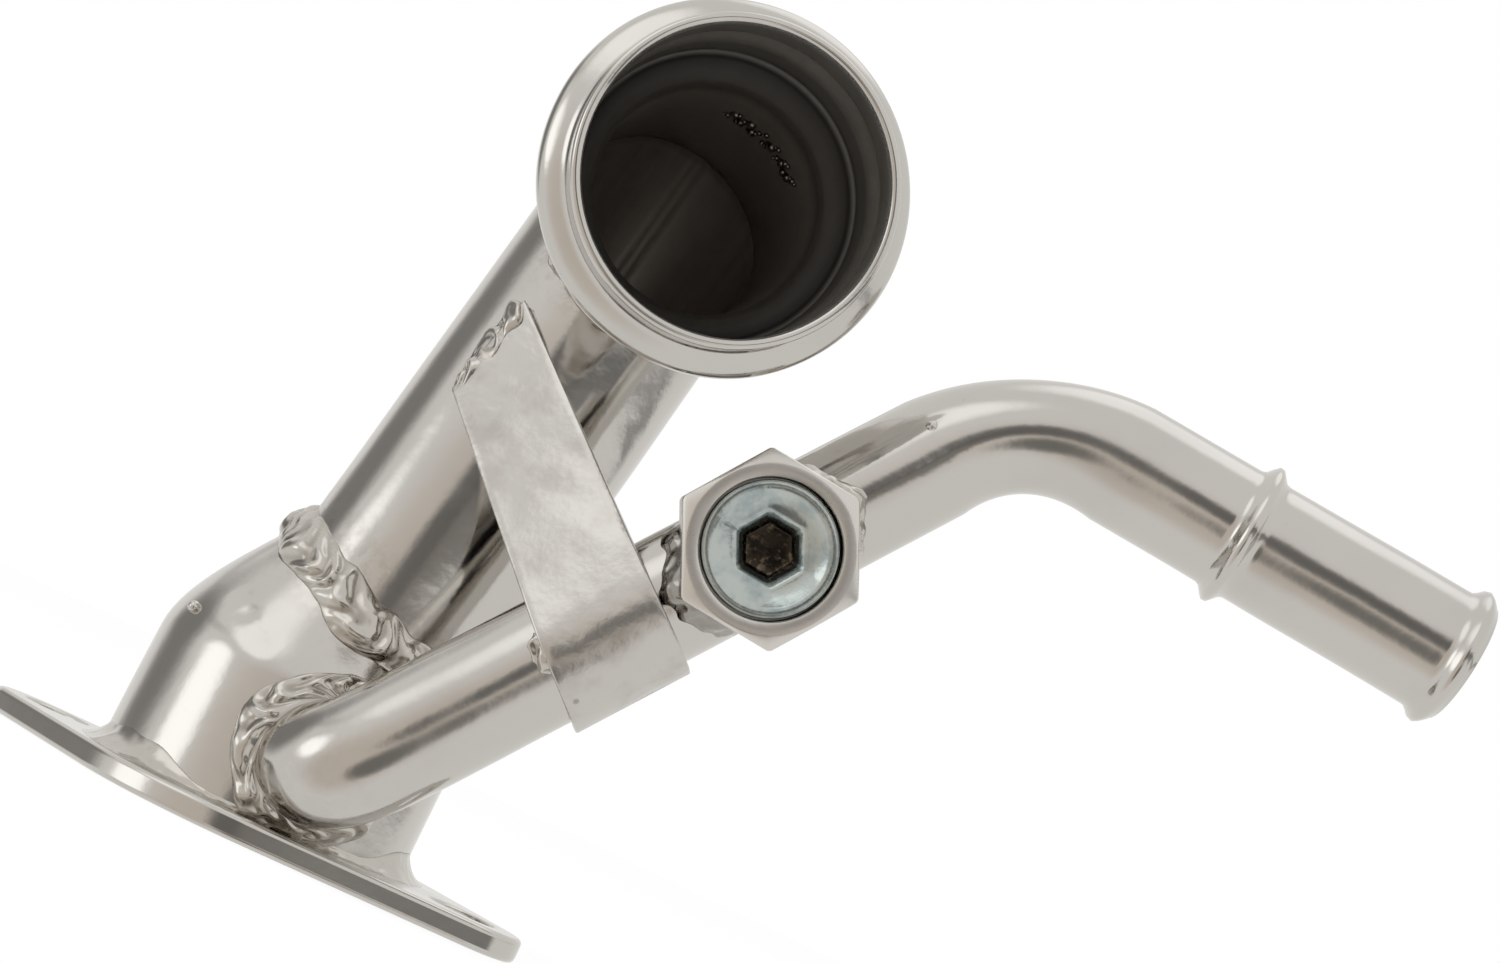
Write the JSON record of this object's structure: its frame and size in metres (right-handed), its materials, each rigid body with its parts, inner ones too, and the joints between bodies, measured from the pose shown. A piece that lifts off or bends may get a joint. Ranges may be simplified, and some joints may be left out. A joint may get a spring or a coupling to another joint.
{
  "type": "engine coolant outlet housing",
  "caption": "Welded steel coolant outlet: flange, angled pipe, radiator hose neck, bent heater tube with barb, hex bung with plug, and a strap.",
  "frame": {"origin": "centre of the flange bore on the gasket face", "axes": "+Z out of the engine along the flange's normal, +X along the flange's long side towards the heater barb, the radiator neck opens towards -Y"},
  "size_m": [0.1777, 0.083, 0.1181],
  "materials": {
    "polished_steel": "buffed and plated steel with soft ripples and a few scuffs",
    "weld_metal": "ropy weld beads, plated, with brown grime in the toes",
    "sheet_steel": "sheared sheet with a faint orange-peel surface",
    "zinc_plate": "dull zinc plate, bluish grey"
  },
  "bodies": {
    "root": {"flange_plate": "polished_steel", "flange_weld": "weld_metal", "lower_elbow": "polished_steel", "elbow_weld": "weld_metal", "main_pipe": "polished_steel", "neck_weld": "weld_metal", "radiator_neck": "polished_steel", "heater_tube": "polished_steel", "heater_root_weld": "weld_metal", "sensor_bung": "polished_steel", "bung_weld_lower": "weld_metal", "bung_weld_upper": "weld_metal", "bung_plug": "zinc_plate", "strap_bracket": "sheet_steel", "strap_weld": "weld_metal", "strap_tack": "weld_metal"}
  },
  "joints": []
}
